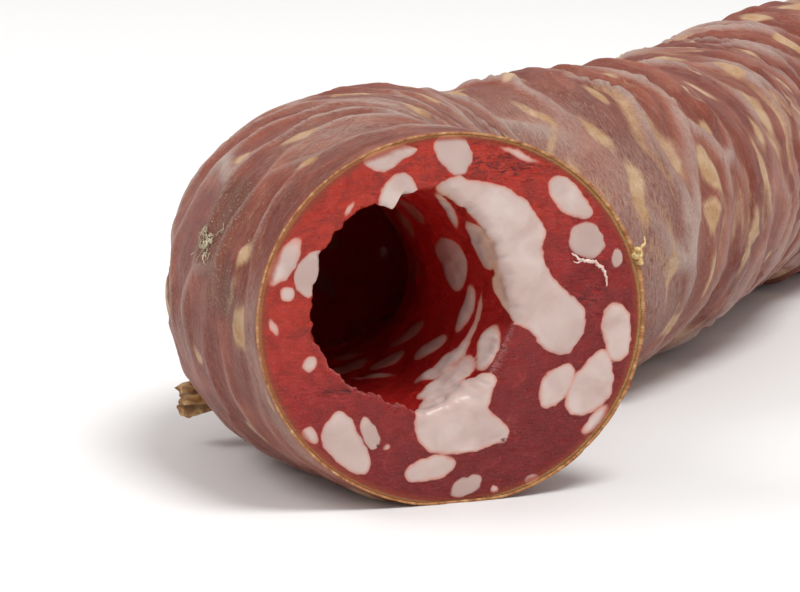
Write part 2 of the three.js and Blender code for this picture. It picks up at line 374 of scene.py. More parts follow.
warped_turn = turn + 0.05 * wander(turn, along, 8, 2.6, 41)
warped_along = along + 1.0 * wander(turn, along, 7, 3, 42)
fat_depth = blobs_depth(warped_turn, warped_along, SKIN_FAT)
beside_ridge = 1.0 * wander(turn, along, 2.4, 8, 43) - 0.25
beside_ridge = beside_ridge - 0.3 * (1 - smooth(50, 80, along)) - 0.25 * (1 - smooth(95, 125, along))
fat_depth = np.maximum(fat_depth, beside_ridge - 0.75 * np.abs(edge_away - 1.3))
line_width = 0.36 + 0.5 * smooth(45, 100, along)
line_strength = np.clip(0.55 + 0.9 * patchy(turn, along), 0, 1) * smooth(2, 7, along)
by_the_cut = hump(np.hypot(turn_away(turn, 152) * RADIUS / 9, (along - 4.5) / 3), 1)
valley = hump(edge_away - 2.3, 1.0) + by_the_cut


def skin_spot(angle, place, reach):
    """1 at a place on the skin, falling to nothing past the reach."""
    return hump(np.hypot(turn_away(turn, angle) * RADIUS, along - place), reach)


# Where dust has settled, and where a pale bloom with painted sheen lies: turn, distance along and reach.
DUSTY_SPOTS = ((159, 19, 6), (144, 18, 5), (190, 26, 8), (172, 12, 4))
# Some of these spots paint sheen: they lighten the top of the skin, where the light falls brightest.
BLOOM_AND_PAINTED_SHEEN_SPOTS = (
    (-10, 93, 12), (18, 92, 13), (48, 84, 13), (72, 38, 11), (105, 15, 8), (48, 60, 10), (176, 3.2, 4.5),
    (188, 3.2, 4.5), (200, 3.2, 4.5), (212, 3.2, 4.5), (224, 3.2, 4.5),
)
settled = smooth(0.15, 0.8, wander(turn, along, 1.6, 14, 44)) * 0.35 + 0.05
settled += 0.8 * sum(skin_spot(*spot) for spot in DUSTY_SPOTS)
bloom_and_painted_sheen = np.max([skin_spot(*spot) for spot in BLOOM_AND_PAINTED_SHEEN_SPOTS], axis=0)


def whole(skin, lining=0.0, end=0.0):
    """One value for each point of the casing: its lining, its outside and its two end points."""
    lining = np.broadcast_to(lining, lining_turn.shape)
    return np.concatenate([lining.ravel(), np.ravel(skin), [end, end]])


mark(casing, "fat", whole(fat_depth, NO_FAT, NO_FAT))
mark(casing, "ridge", whole(crests(turn, along, edge_away)))
mark(casing, "beside_line", whole(edge_away / line_width, FAR, FAR))
mark(casing, "line", whole(line_strength))
mark(casing, "tone", whole(panel_tone))
mark(casing, "valley", whole(np.minimum(valley, 1.2)))
mark(casing, "edge", whole(along < 0.2, lining_along < 2))
mark(casing, "dried", whole(smooth(NECK_START - 10, NECK_START + 2, along), 1, 1))
mark(casing, "bloom_and_painted_sheen", whole(bloom_and_painted_sheen))
mark(casing, "dust", whole(settled * (along > 0.6) * (along < NECK_START)))
both_turns, both_along = whole(turn, lining_turn), whole(along, lining_along, NECK_END)
straight = np.stack([np.cos(both_turns) * RADIUS, np.sin(both_turns) * RADIUS, both_along], -1)
mark(casing, "straight", straight)


def add_node(tree, kind, inputs=None, **settings):
    """A shader or geometry node with its settings, and its inputs set to values or linked to sockets."""
    made = tree.nodes.new(kind)
    for key, value in settings.items():
        setattr(made, key, value)
    for key, value in (inputs or {}).items():
        if isinstance(value, bpy.types.NodeSocket):
            tree.links.new(value, made.inputs[key])
        else:
            made.inputs[key].default_value = value
    return made


def finish_of(name, **fixed):
    """A new material with one Principled shader, whose constant values are set on its own sockets."""
    material = bpy.data.materials.new(name)
    material.use_nodes = True
    tree = material.node_tree
    shader = tree.nodes["Principled BSDF"]
    for key, value in fixed.items():
        shader.inputs[key.replace("_", " ")].default_value = value
    return material, tree, shader


def ramp(tree, value, *stops):
    """A colour ramp through the stops, each a position and a colour of three numbers."""
    made = add_node(tree, "ShaderNodeValToRGB", {"Fac": value})
    elements = made.color_ramp.elements
    while len(elements) < len(stops):
        elements.new(0.5)
    for element, (position, colour) in zip(elements, stops):
        element.position = position
        element.color = (*colour, 1)
    return made.outputs["Color"]


def paint(tree, under, share, strength, over):
    """Lays a colour over another as far as a share says, at a strength."""
    share = math_node(tree, "MULTIPLY", share, strength)
    made = add_node(tree, "ShaderNodeMix", {"Factor": share}, data_type="RGBA")
    for socket, value in (("A", under), ("B", over)):
        target = [s for s in made.inputs if s.name == socket and s.type == "RGBA"][0]
        if isinstance(value, bpy.types.NodeSocket):
            tree.links.new(value, target)
        else:
            target.default_value = (*value, 1)
    return [s for s in made.outputs if s.type == "RGBA"][0]


def paint_layers(tree, colour, *layers):
    """Lays colours over one another, each with its share and its strength."""
    for share, strength, tint in layers:
        colour = paint(tree, colour, share, strength, tint)
    return colour


def band(tree, value, low, high):
    """0 below low, 1 above high, and a smooth step between."""
    inputs = {"Value": value, "From Min": low, "From Max": high}
    made = add_node(tree, "ShaderNodeMapRange", inputs, interpolation_type="SMOOTHSTEP")
    return made.outputs["Result"]


def scaled(tree, value, to_low, to_high, low=0.0, high=1.0):
    """A value moved evenly from one range to another, and held inside it."""
    inputs = {"Value": value, "From Min": low, "From Max": high, "To Min": to_low, "To Max": to_high}
    return add_node(tree, "ShaderNodeMapRange", inputs).outputs["Result"]


def math_node(tree, operation, first, second=0.0, third=0.0):
    """One step of arithmetic on up to three values."""
    return add_node(tree, "ShaderNodeMath", {0: first, 1: second, 2: third}, operation=operation).outputs[0]


def times(tree, first, second):
    """The product of two values."""
    return math_node(tree, "MULTIPLY", first, second)


def read_mark(tree, name, output="Fac"):
    """A mark on a piece's points, as its material reads it."""
    return add_node(tree, "ShaderNodeAttribute", attribute_name=name).outputs[output]


def grain(tree, place, stretch, scale, detail=4.0, roughness=0.55, distortion=0.0):
    """Noise on a marked place, stretched by three factors, for grain that follows the sausage."""
    mapping = add_node(tree, "ShaderNodeMapping", {"Vector": place, "Scale": stretch})
    inputs = {"Vector": mapping.outputs["Vector"], "Scale": scale, "Detail": detail}
    inputs.update({"Roughness": roughness, "Distortion": distortion})
    return add_node(tree, "ShaderNodeTexNoise", inputs).outputs["Fac"]


def dress(material, shader, colour, *bumps):
    """Joins a colour and layers of bump, each a height, strength and depth in metres, to a finish."""
    tree = material.node_tree
    tree.links.new(colour, shader.inputs["Base Color"])
    normal = None
    for height, strength, depth in bumps:
        inputs = {"Height": height, "Strength": strength, "Distance": depth}
        if normal:
            inputs["Normal"] = normal
        normal = add_node(tree, "ShaderNodeBump", inputs).outputs["Normal"]
    if normal:
        tree.links.new(normal, shader.inputs["Normal"])


material, tree, shader = finish_of(
    "dried natural casing",
    Subsurface_Weight=0.08,
    Subsurface_Radius=(0.9, 0.35, 0.18),
    Subsurface_Scale=0.0008,
    Coat_Weight=0.04,
    Coat_Roughness=0.25,
    Sheen_Weight=0.03,
    Sheen_Roughness=0.35,
    Specular_IOR_Level=0.29,
)
place = read_mark(tree, "straight", "Vector")
mottle = grain(tree, place, (1, 1, 1), 0.16, 5, 0.6, 0.6)
streaks = grain(tree, place, (0.3, 0.3, 1.7), 0.6, 6, 0.68, 0.4)
speckle = grain(tree, place, (0.8, 0.8, 1.5), 3.4, 4, 0.75)
fibre = grain(tree, place, (0.45, 0.45, 2.4), 1.9, 5, 0.82, 0.3)
# Red-brown meat under the skin, darker in the valleys, with a pale haze and painted shine along the ridges
# and lines.
tone = math_node(tree, "MULTIPLY_ADD", read_mark(tree, "tone"), 0.09, mottle)
colour = ramp(tree, tone, (0.3, (0.19, 0.03, 0.016)), (0.5, (0.3, 0.062, 0.032)), (0.72, (0.4, 0.125, 0.072)))
# Pale bloom, and a painted sheen that lightens the top of the skin.
bloom_and_painted_sheen = times(tree, read_mark(tree, "bloom_and_painted_sheen"), band(tree, fibre, 0.3, 0.62))
# Painted highlight as well as pale haze: whitish streaks on the ridges and on the lines between panels stand
# in for their gloss.
haze_and_painted_shine = times(tree, band(tree, read_mark(tree, "ridge"), 0.1, 0.9), band(tree, streaks, 0.25, 0.6))
haze_and_painted_shine = times(tree, haze_and_painted_shine, band(tree, speckle, 0.25, 0.55))
line = times(tree, band(tree, read_mark(tree, "beside_line"), 1.5, 0.1), read_mark(tree, "line"))
line = times(tree, line, band(tree, streaks, 0.1, 0.55))
colour = paint_layers(
    tree,
    colour,
    (read_mark(tree, "valley"), 0.62, (0.17, 0.026, 0.013)),
    (band(tree, streaks, 0.5, 0.78), 0.45, (0.42, 0.26, 0.2)),
    (bloom_and_painted_sheen, 0.62, (0.5, 0.36, 0.3)),
    (haze_and_painted_shine, 0.42, (0.44, 0.3, 0.24)),
    (line, 0.78, (0.54, 0.41, 0.36)),
)
# Tan fat behind the skin, then the fibres of the gut, dust, freckles and dark grain. The gathered end is
# hard and brown, and the cut edge golden.
fat_rough = math_node(tree, "MULTIPLY_ADD", fibre, 0.9, read_mark(tree, "fat"))
fat_colour = ramp(tree, mottle, (0.35, (0.54, 0.3, 0.13)), (0.65, (0.7, 0.49, 0.31)))
dust = band(tree, read_mark(tree, "dust"), 0.4, 1.1)
dried_colour = ramp(tree, streaks, (0.35, (0.2, 0.09, 0.03)), (0.65, (0.46, 0.29, 0.12)))
chips = grain(tree, place, (1, 1, 1), 0.9, 4, 0.65)
golds = (0.38, (0.32, 0.1, 0.03)), (0.55, (0.52, 0.24, 0.09)), (0.7, (0.74, 0.46, 0.23))
colour = paint_layers(
    tree,
    colour,
    (band(tree, fat_rough, 0.0, 0.95), 0.9, fat_colour),
    (band(tree, fibre, 0.53, 0.74), 0.42, (0.55, 0.4, 0.3)),
    (band(tree, fibre, 0.46, 0.28), 0.5, (0.13, 0.03, 0.022)),
    (dust, 0.6, (0.12, 0.035, 0.02)),
    (times(tree, dust, band(tree, speckle, 0.53, 0.68)), 0.6, (0.58, 0.42, 0.22)),
    (band(tree, speckle, 0.57, 0.72), 0.5, (0.56, 0.42, 0.33)),
    (band(tree, speckle, 0.46, 0.3), 0.55, (0.13, 0.03, 0.025)),
    (read_mark(tree, "dried"), 1.0, dried_colour),
    (read_mark(tree, "edge"), 1.0, ramp(tree, chips, *golds)),
)
tree.links.new(scaled(tree, streaks, 0.32, 0.6), shader.inputs["Roughness"])
wrinkle = grain(tree, place, (0.35, 0.35, 1.8), 0.9, 7, 0.7, 0.4)
pores = grain(tree, place, (1, 1, 1), 4.5, 3, 0.6)
dress(material, shader, colour, (wrinkle, 0.7, 0.0009), (pores, 0.6, 0.0004))
casing.data.materials.append(material)
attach(casing, "root")
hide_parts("casing")

# ---- Filling ------------------------------------------------------------------------------------
# Coarse cured pork: dark red lean, firm where it was cut, with white pieces of back fat of every size.
# A hollow with a torn rim runs into it from the cut, and a dried band lies just inside the casing.

HOLLOW_ACROSS, HOLLOW_UP = 13.9, 15.7
HOLLOW_ASIDE, HOLLOW_RAISED = -4.5, 2.0
HOLLOW_DEPTH, HOLLOW_FULL = 68, 40
TOOTH_TURN, TOOTH_WIDTH = 103, 0.055
SOFT_RIM_TURN, SOFT_RIM_REACH = -60, math.radians(20)
LEAST_UNDER_HOLLOW = 0.8
# How far the meat stays inside the casing: at the cut's edge, over the board, and round its back.
EDGE_GAP, FACE_OVER_BOARD, BACK_OVER_BOARD, BACK_GAP, BACK_SLACK = 0.01, 0.05, 0.08, 0.06, 0.5
FACE_COLUMNS = 420
MEAT_END = 279
WALL_PER_DEGREE = 0.25
# How fast a piece of fat on the cut face ends behind it, and how much its outline's corners are rounded.
FAT_TAPER, CORNER_CUT = 0.8, 0.23
# The cut slants across the sausage, so the face is this much wider than the sausage.
STRETCH = 1 / math.cos(CUT_HEADING - START_HEADING)

# The torn rim: turns about the hollow's middle, each with its share of the hollow's plain size.
RIM = [
    (-171, 0.96), (-156, 0.94), (-140, 0.9), (-126, 0.86), (-113, 0.84), (-99, 0.86), (-87, 0.92),
    (-70, 0.94), (-51, 0.96), (-38, 1.01), (-24, 0.99), (-10, 1.02), (4, 0.945), (20, 0.91), (33, 0.925),
    (45, 0.93), (58, 0.97), (68, 1.0), (75, 1.03), (82, 0.98), (92, 0.94), (103, 0.88), (117, 0.93),
    (130, 0.95), (151, 0.97), (166, 0.94),
]

# Fat on the cut face, as outlines in millimetres across and up from the middle of the cut.
FACE_FAT = {
    "top strip": [
        (-2.6, 22.5), (-1.4, 23.7), (1, 24.1), (2.7, 23), (3.2, 21.2), (2.8, 19), (1, 18.4), (-0.8, 20),
    ],
    "upper right": [
        (-2, 17.5), (1, 18.5), (3.5, 17.7), (6, 17.5), (8, 16.5), (10.5, 15.5), (12, 13.5), (14, 10.5),
        (13, 8.5), (14.5, 4.5), (18, 1.5), (20.2, -0.5), (19.7, -3), (18, -5.6), (16.5, -6.4), (14, -5.4),
        (12, -2.5), (9, -1), (7, 2), (7, 8), (4, 13), (-1, 15),
    ],
    "far upper right": [
        (14, 16.6), (15, 18), (16.7, 18), (18.4, 16.4), (20, 14.3), (21, 12.6), (19.8, 11.8), (17.5, 12.6),
        (15.2, 14),
    ],
    "right edge": [
        (23.5, 0.5), (25, 0.3), (26.6, -1), (26.8, -5), (26, -7.2), (24.5, -8), (23.3, -7), (23, -4.5),
        (22.4, -2.3),
    ],
    "lower right small": [
        (13, -11), (13.6, -9), (15.5, -8), (17.7, -7.4), (18.6, -8.6), (17.8, -11), (16.2, -12.9),
        (13.6, -13.6),
    ],
    "lower right": [
        (21.5, -6), (23.2, -6), (24.2, -9.5), (23.5, -12.5), (22, -13.7), (19.5, -14.6), (17.3, -14.3),
        (17.2, -11.5), (19, -8.6),
    ],
    "bottom": [
        (-4.2, -12), (-4.9, -14.5), (-4, -16.7), (-2.8, -17.8), (-0.5, -18.6), (2.5, -18.4), (6, -17.7),
        (8.6, -17.6), (9, -16), (7.6, -14.6), (5.6, -13), (6.2, -10.8), (7, -8.2), (5, -5), (-2, -6.5),
    ],
    "lower left": [
        (-15.6, -11.4), (-13.9, -13), (-12.6, -15.5), (-11, -18.5), (-11.6, -20.2), (-13, -20.3),
        (-15.5, -18.5), (-18, -16), (-17.6, -13.6),
    ],
    "lower left thin": [
        (-12.6, -13.5), (-12, -12.4), (-10.9, -13.6), (-9.9, -15.8), (-10.6, -17.2), (-12, -16),
    ],
    "under the hollow": [
        (-6.6, -20.6), (-4.5, -19), (-1.5, -18.4), (1.2, -19.2), (0.4, -21), (-2.4, -21.7), (-5, -22),
    ],
    "upper left": [
        (-12.2, 21), (-11, 22.1), (-8.5, 22.7), (-6, 23.1), (-4.4, 22.2), (-6.5, 21), (-8.6, 19.6),
        (-10.6, 19.8),
    ],
    "upper left low": [
        (-8.2, 19.1), (-6.3, 19.2), (-4.5, 17.4), (-4, 16), (-5.6, 14), (-7.6, 12.2), (-9.3, 13.8),
        (-10, 16.4),
    ],
    "left": [
        (-21.6, 7.6), (-20.2, 9.2), (-17.4, 9.8), (-17.2, 7.6), (-18.4, 5), (-19.8, 3.8), (-21.2, 4.6),
    ],
}
# Rounder pieces: middle, half-length, half-width and tilt.
FACE_SPOTS = [
    (-23, 8.5, 3.6, 1.5, 55), (-22.5, 4.3, 1.1, 1.0, 0), (20, 9, 2.7, 2.3, -25),
    (24.5, 6.5, 1.3, 0.85, 90), (21.5, -15.5, 2.7, 1.1, 45), (2.5, -23, 2.3, 1.3, 20),
    (-19.5, -14.5, 1.3, 1.0, -45), (-19.5, -5, 1.1, 1.0, 0), (-24.5, 0, 1.3, 0.4, -65),
    (-14, 15, 1.0, 0.4, 60), (10, 21, 2.8, 0.45, -23), (12, -23, 1.0, 0.95, 0), (6.5, -23.8, 0.6, 0.6, 0),
    (7.6, -17, 0.9, 0.8, 0), (-9, -16.8, 0.6, 0.35, 30), (11.5, 8, 0.8, 0.4, 60),
]
# Fat on the hollow's wall: turn, depth, half-sizes round and along, and tilt.
WALL_FAT = [
    (29, 3.1, 3.5, 2.4, 0), (15, 11.2, 3.8, 3.4, 8), (-10, 8.2, 3.3, 1.3, -18), (-28, 2.3, 3.3, 2.0, 7),
    (-34, 6.7, 2.6, 0.9, -6), (-22, 6.4, 2.4, 0.5, -8), (-12, 6.0, 2.6, 0.4, -11),
    (-42, 8.0, 2.6, 1.4, -20), (-36, 13.7, 3.4, 1.4, -48), (-56, 21.7, 3.3, 1.8, -32),
    (-35, 22.6, 5.2, 1.3, -53), (-71, 20.3, 4.3, 0.6, -52), (-77, 28.3, 3.3, 2.6, 9),
    (-76, 36.1, 3.3, 2.4, -11), (50, 15.3, 2.7, 2.4, 0), (54, 4.8, 4.6, 0.9, -30),
    (-50, 8.6, 3.6, 1.2, -60), (-57, 5.6, 3.4, 2.0, 0), (-48, 4.5, 3.4, 1.8, 10), (38, 22, 2.6, 2.2, 0),
    (5, 27, 2.6, 2.2, 0),
]
# Fat that lies deeper and looks dimmer: middle, reach and share.
DIM_FAT = [
    (20, 9, 3.2, 1), (2.5, -23, 2.8, 1), (24.5, 6.5, 1.7, 1), (12, -23, 1.5, 1), (-19.5, 6.8, 3.2, 1),
    (-11, -15, 2.2, 1), (-14.5, -16, 5, 0.5), (0.8, 21.2, 3.6, 0.6), (16, -2, 6, 0.35), (-9, 21.5, 4.5, 0.35),
]


def rim_share(turn):
    """The hollow's size at its rim, as a share of its plain size, smooth round the turn."""
    angles = np.array([angle for angle, _ in RIM] + [RIM[0][0] + 360], float)
    shares = np.array([share for _, share in RIM] + [RIM[0][1]])
    spread = (np.degrees(turn) - angles[0]) % 360 + angles[0]
    step = np.clip(np.searchsorted(angles, spread, side="right") - 1, 0, len(RIM) - 1)
    share = smooth(angles[step], angles[step + 1], spread)
    return shares[step] + (shares[step + 1] - shares[step]) * share


def hollow_point(turn, depth):
    """Across and up for places on the hollow's wall, torn at the rim and rounded at its far end."""
    closing = np.clip((depth - HOLLOW_FULL) / (HOLLOW_DEPTH - HOLLOW_FULL), 0, 1)
    size = (1 - 0.2 * np.clip(depth / HOLLOW_FULL, 0, 1)) * np.sqrt(1 - closing**2)
    torn = rim_share(turn) + 0.022 * wander(turn, depth, 9, 2, 51) + 0.018 * wander(turn, depth, 24, 1.5, 52)
    torn = torn - 0.06 * hump(turn_away(turn, TOOTH_TURN), TOOTH_WIDTH)
    lumps = 0.97 + 0.035 * wander(turn, depth, 2.2, 7, 53) + 0.02 * wander(turn, depth, 5, 2.5, 54)
    share = np.exp(-np.maximum(depth, 0) / 4)
    size = size * (torn * share + lumps * (1 - share))
    fade = 1 - np.clip(depth, 0, HOLLOW_DEPTH) / HOLLOW_DEPTH
    across = HOLLOW_ASIDE * fade + HOLLOW_ACROSS * size * np.cos(turn)
    return across, HOLLOW_RAISED * fade + HOLLOW_UP * size * np.sin(turn)


def outline_depth(across, up, outline):
    """How deep inside a closed rounded outline each place is, in millimetres, negative outside it."""
    corners = np.array(outline, float)
    cut, rest = CORNER_CUT, 1 - CORNER_CUT
    for _ in range(2):
        after = np.roll(corners, -1, 0)
        corners = np.stack([corners * rest + after * cut, corners * cut + after * rest], 1).reshape(-1, 2)
    nearest, inside = np.full(across.shape, 99.0), np.zeros(across.shape, bool)
    for (ax, ay), (bx, by) in zip(corners, np.roll(corners, -1, 0)):
        dx, dy = bx - ax, by - ay
        share = np.clip(((across - ax) * dx + (up - ay) * dy) / (dx * dx + dy * dy), 0, 1)
        nearest = np.minimum(nearest, np.hypot(across - ax - share * dx, up - ay - share * dy))
        crosses = (ay > up) != (by > up)
        inside ^= crosses & (across < ax + (up - ay) * dx / (dy if dy else 1e-9))
    return np.where(inside, nearest, -nearest)


def meat_fat(across, up, depth, turn):
    """How deep inside a piece of fat each place in the meat is, on the cut face or on the hollow's wall."""
    # Fat is told across and up on the cut face, and its outlines waver.
    u = across * STRETCH + 0.2 * drift(across / 1.3, up / 1.3, depth / 2, 61)
    w = up + 0.2 * drift(across / 1.3, up / 1.3, depth / 2, 62)
    u += 0.13 * drift(across / 0.6, up / 0.6, depth, 68)
    w += 0.13 * drift(across / 0.6, up / 0.6, depth, 69)
    deepest = np.full(across.shape, NO_FAT)
    for outline in FACE_FAT.values():
        deepest = np.maximum(deepest, outline_depth(u, w, outline) + 0.12 - FAT_TAPER * depth)
    for middle_u, middle_w, *sizes in FACE_SPOTS:
        spot = patch_depth(u - middle_u, w - middle_w, *sizes)
        deepest = np.maximum(deepest, spot - FAT_TAPER * depth)
    on_wall = depth > 0.2
    if on_wall.any():
        warped_turn = turn + 0.03 * drift(u / 3, w / 3, depth / 3, 63)
        warped_depth = depth + 0.3 * drift(u / 3, w / 3, depth / 3, 64)
        spots = blobs_depth(warped_turn, warped_depth, WALL_FAT, HOLLOW_ACROSS)
        deepest = np.where(on_wall, np.maximum(deepest, spots), deepest)
    return deepest


rng = np.random.default_rng(19)
for tries, angles, depths, gap, half_lengths, half_widths in (
    (170, (60, 235), (3, 60), 6.4, (1.2, 4.5), (0.9, 2.4)),
    (90, (-95, 60), (30, 60), 5.6, (1.6, 3.6), (1.2, 2.4)),
):
    for _ in range(tries):
        angle, depth = rng.uniform(*angles), rng.uniform(*depths)
        if nearest_patch(WALL_FAT, angle, depth, WALL_PER_DEGREE) > gap:
            half_sizes = rng.uniform(*half_lengths), rng.uniform(*half_widths)
            WALL_FAT.append((angle, depth, *half_sizes, rng.uniform(-40, 40)))

turns = np.linspace(0, 2 * math.pi, FACE_COLUMNS, endpoint=False)
wall_rows = np.concatenate([np.linspace(67.7, 40, 18), np.linspace(39, 16, 26), np.arange(15.4, 0.4, -0.45)])
wall_turn, wall_depth = np.meshgrid(turns, wall_rows)
wall_across, wall_up = hollow_point(wall_turn, wall_depth)
face_rows = np.concatenate([[0.0, 0.02], np.linspace(0.04, 0.97, 62), [0.985, 1.0]])
face_turn, face_share = np.meshgrid(turns, face_rows)
flat_face = np.zeros(face_turn.shape)
rim_across, rim_up = hollow_point(face_turn, flat_face)
edge_radius = inside_radius(face_turn, flat_face) - EDGE_GAP
edge_across, edge_up = edge_radius * np.cos(face_turn), edge_radius * np.sin(face_turn)
face_across = rim_across + (edge_across - rim_across) * face_share
face_up = rim_up + (edge_up - rim_up) * face_share
face_width = np.hypot(edge_across - rim_across, edge_up - rim_up)
from_rim, from_edge = face_share * face_width, face_width * (1 - face_share)
wall_fat = meat_fat(wall_across, wall_up, wall_depth, wall_turn)
face_fat = meat_fat(face_across, face_up, flat_face, face_turn)

# The lean stands a little rough, the fat a little proud, and the rim is worn round, most of all low down.
relief = 0.1 * drift(face_across / 0.8, face_up / 0.8, 0, 65) * (1 - smooth(-0.2, 0.3, face_fat))
relief += 0.12 * drift(face_across / 2.8, face_up / 2.8, 0, 66)
relief = relief * smooth(0, 1.5, from_edge) + 0.12 * smooth(-0.3, 0.4, face_fat) - 0.1
relief -= 0.55 * np.exp(-from_rim / 0.35)
soft_rim = hump(turn_away(face_turn, SOFT_RIM_TURN), SOFT_RIM_REACH)
relief -= 0.8 * soft_rim * np.exp(-from_rim / 1.1)
face_points = lie(face_across, face_up, -relief, lowest=SKIN + FACE_OVER_BOARD)
wall_along = wall_depth + (0.62 + 0.8 * soft_rim[:1]) * np.exp(-wall_depth / 2.5)
lumps = 0.012 * drift(wall_across / 1.2, wall_up / 1.2, wall_depth / 1.2, 67)
inward = 1 - (0.014 * smooth(-0.4, 0.6, wall_fat) + lumps)
middle_across = HOLLOW_ASIDE * (1 - wall_depth / HOLLOW_DEPTH)
middle_up = HOLLOW_RAISED * (1 - wall_depth / HOLLOW_DEPTH)
wall_points = lie(
    middle_across + (wall_across - middle_across) * inward,
    middle_up + (wall_up - middle_up) * inward,
    wall_along,
    lowest=LEAST_UNDER_HOLLOW,
)
back_rows = np.concatenate([[0.4, 1.2, 3], np.arange(6, 263, 8), [268, 276]])
back_turn, back_along = np.meshgrid(turns, back_rows)
back_radius = inside_radius(back_turn, back_along) - BACK_GAP - BACK_SLACK * smooth(0.4, 6, back_along)
back_points = round_at(back_turn, back_radius, back_along, lowest=SKIN + BACK_OVER_BOARD)
ends = lie(np.zeros(2), np.zeros(2), np.array([HOLLOW_DEPTH, float(MEAT_END)]))
filling = shell("meat_filling", np.concatenate([wall_points, face_points, back_points]), ends)


def through(wall=0.0, face=0.0, back=0.0, ends=(0.0, 0.0)):
    """One value for each point of the filling: its wall, its cut face, its outside and its end points."""
    shapes = ((wall, wall_turn), (face, face_turn), (back, back_turn))
    return np.concatenate([np.broadcast_to(value, grid.shape).ravel() for value, grid in shapes] + [ends])


u = face_across * STRETCH
# Painted shade: two small pits in the cut face, painted nearly black.
painted_pits = np.maximum(0.42 - np.hypot(u - 7.9, face_up + 17.2), 0)
painted_pits = np.maximum(painted_pits, 0.36 - np.hypot(u + 10.1, face_up + 16.6))
torn_top = hump(face_across - 6, 8) * hump(face_up - 20.3 + 0.12 * np.abs(face_across - 4), 2.2)
torn_left = hump(face_across + 14.5, 4.5) * hump(face_up + 9, 0.9)
torn_right = 0.7 * hump(face_across - 18.5, 4) * hump(face_up - 1.5, 4)
dim = np.zeros(u.shape)
for middle_u, middle_w, reach, share in DIM_FAT:
    away = np.hypot(u - middle_u, face_up - middle_w) / reach
    dim = np.maximum(dim, share * np.exp(-(away**4)))
mark(filling, "torn", through(face=torn_top + torn_left + torn_right))
mark(filling, "dim", through(face=0.9 * dim))
mark(filling, "painted_pit_shade", through(face=smooth(0, 0.25, painted_pits)))
mark(filling, "fat", through(wall_fat, face_fat, NO_FAT, (NO_FAT, NO_FAT)))
mark(filling, "from_edge", through(FAR, from_edge, 0, (FAR, 0)))
# Painted highlight: a pale line on the lean along the hollow's rim, low down.
mark(filling, "rim", through(face=np.exp(-from_rim / 0.22) * smooth(2, -6, face_up)))
mark(filling, "wall", through(smooth(0, 3, wall_depth), ends=(1, 0)))
meat_place = [
    through(wall_across, face_across, back_radius * np.cos(back_turn)),
    through(wall_up, face_up, back_radius * np.sin(back_turn)),
    through(wall_depth, 0, back_along, (HOLLOW_DEPTH, MEAT_END)),
]
mark(filling, "straight", np.stack(meat_place, -1))

material, tree, shader = finish_of(
    "cured lean and fat",
    Subsurface_Weight=0.35,
    Subsurface_Radius=(1.0, 0.28, 0.16),
    Subsurface_Scale=0.0016,
    Coat_Weight=0.22,
    Coat_Roughness=0.12,
    Specular_IOR_Level=0.3,
)
place = read_mark(tree, "straight", "Vector")
where = add_node(tree, "ShaderNodeSeparateXYZ", {"Vector": place})
across, up, inside = (where.outputs[axis] for axis in "XYZ")
muscle = grain(tree, place, (1, 1, 1), 0.42, 4, 0.6, 0.8)
fibre = grain(tree, place, (0.45, 1.9, 1), 1.3, 5, 0.72, 1.6)
fleck = grain(tree, place, (1, 1, 1), 3.2, 3, 0.6)
# Lean: painted light makes it brighter towards the upper left, where light shines through the meat; in darker
# and paler muscles, with cracks, flecks and a painted highlight along the rim.
# Painted light: the lean is lighter towards the upper left, where light shines through the thin meat.
painted_glow = band(tree, math_node(tree, "MULTIPLY_ADD", across, -0.55, up), -24, 20)
lean = ramp(tree, painted_glow, (0.0, (0.25, 0.01, 0.011)), (0.5, (0.4, 0.016, 0.014)), (1.0, (0.58, 0.032, 0.011)))
# Painted shade: lean and fat turn a darker, deeper red further into the hollow.
painted_hollow_shade = band(tree, times(tree, inside, math_node(tree, "MULTIPLY_ADD", up, 0.045, 1.0)), 1.5, 22.0)
looser = math_node(tree, "MULTIPLY_ADD", read_mark(tree, "torn"), 0.13, 0.37)
cracks = band(tree, math_node(tree, "SUBTRACT", looser, fibre), 0.0, 0.07)
lean = paint_layers(
    tree,
    lean,
    (band(tree, muscle, 0.6, 0.36), 0.45, (0.17, 0.006, 0.007)),
    (band(tree, muscle, 0.56, 0.74), 0.5, (0.46, 0.06, 0.05)),
    (cracks, 0.85, (0.07, 0.003, 0.003)),
    (band(tree, fleck, 0.6, 0.72), 0.4, (0.6, 0.2, 0.15)),
    (band(tree, fleck, 0.44, 0.3), 0.45, (0.1, 0.004, 0.004)),
    # Painted highlight along the hollow's rim.
    (times(tree, read_mark(tree, "rim"), band(tree, fleck, 0.35, 0.6)), 0.5, (0.66, 0.36, 0.33)),
    (read_mark(tree, "wall"), 0.75, (0.42, 0.007, 0.004)),
    (painted_hollow_shade, 1.0, (0.5, 0.006, 0.004)),
)
# Fat: white, pink where it meets the lean, amber on the wall near the rim, and dark red with painted shade
# deep in the hollow.
cloud = grain(tree, place, (1, 1, 1), 0.22, 3, 0.5, 0.5)
whites = ramp(tree, cloud, (0.3, (0.5, 0.355, 0.32)), (0.5, (0.58, 0.44, 0.4)), (0.7, (0.65, 0.525, 0.485)))
fat = read_mark(tree, "fat")
amber = times(tree, band(tree, inside, 0.2, 1.0), band(tree, inside, 5.0, 2.0))
amber = times(tree, amber, band(tree, up, -4.0, 2.0))
fat_colour = paint_layers(
    tree,
    (0.6, 0.27, 0.21),
    (band(tree, fat, -0.05, 0.6), 1.0, whites),
    (read_mark(tree, "dim"), 1.0, (0.47, 0.335, 0.3)),
    (amber, 0.5, (0.62, 0.34, 0.2)),
    (painted_hollow_shade, 1.0, (0.3, 0.06, 0.04)),
)
